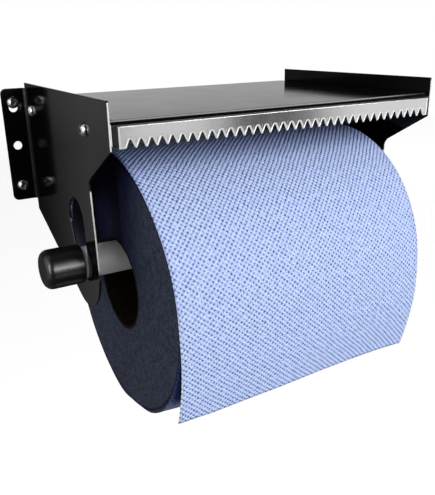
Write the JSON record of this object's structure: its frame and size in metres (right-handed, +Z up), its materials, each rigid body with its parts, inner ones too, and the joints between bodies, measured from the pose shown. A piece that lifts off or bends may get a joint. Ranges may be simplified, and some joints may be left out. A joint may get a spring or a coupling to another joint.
{
  "type": "wall mounted paper roll dispenser",
  "caption": "Wall bracket of two sheet-steel plates with a top shelf and a toothed tear bar, holding a paper roll on a lift-out tube.",
  "frame": {"origin": "on the wall plane, midway between the two free middle holes of the wall flanges", "axes": "X to the right as seen from the front, -Y out of the wall to the front, Z up"},
  "size_m": [0.369, 0.2597, 0.272],
  "materials": {
    "black_coating": "glossy powder coat",
    "stainless": "bright brushed",
    "satin_tube": "satin",
    "black_rubber": "smooth satin",
    "core_board": "matt",
    "roll_paper": "matt, cut edges",
    "sheet_paper": "matt, embossed",
    "plated_screw": "bright plated"
  },
  "bodies": {
    "bracket": {"left_side_plate": "black_coating", "right_side_plate": "black_coating", "shelf": "black_coating", "tear_blade": "stainless", "shelf_screw_left_front": "plated_screw", "shelf_nut_left_front": "plated_screw", "shelf_screw_left_rear": "plated_screw", "shelf_nut_left_rear": "plated_screw", "shelf_screw_right_front": "plated_screw", "shelf_nut_right_front": "plated_screw", "shelf_screw_right_rear": "plated_screw", "shelf_nut_right_rear": "plated_screw", "wall_screw_left_top": "plated_screw", "wall_screw_left_bottom": "plated_screw", "wall_screw_right_top": "plated_screw", "wall_screw_right_bottom": "plated_screw"},
    "axle_lifter": {"left_end_cap": "black_rubber"},
    "axle": {"axle_tube": "satin_tube", "right_end_cap": "black_rubber"},
    "hanging_paper": {"paper_sheet": "sheet_paper"},
    "roll": {"roll_core": "core_board", "paper_roll": "roll_paper"}
  },
  "joints": [
    {"name": "axle_lift", "type": "slide", "parent": "bracket", "child": "axle_lifter", "axis": [0, 0.2084, 0.978], "range_m": [0, 0.032]},
    {"name": "axle_spin", "type": "hinge", "parent": "axle_lifter", "child": "axle", "pos_m": [0, -0.1335, -0.0793], "axis": [1, 0, 0], "continuous": true},
    {"name": "roll_shift", "type": "slide", "parent": "axle_lifter", "child": "hanging_paper", "axis": [1, 0, 0], "range_m": [-0.019, 0.0172]},
    {"name": "roll_spin", "type": "hinge", "parent": "hanging_paper", "child": "roll", "pos_m": [0, -0.1335, -0.104], "axis": [1, 0, 0], "continuous": true}
  ]
}
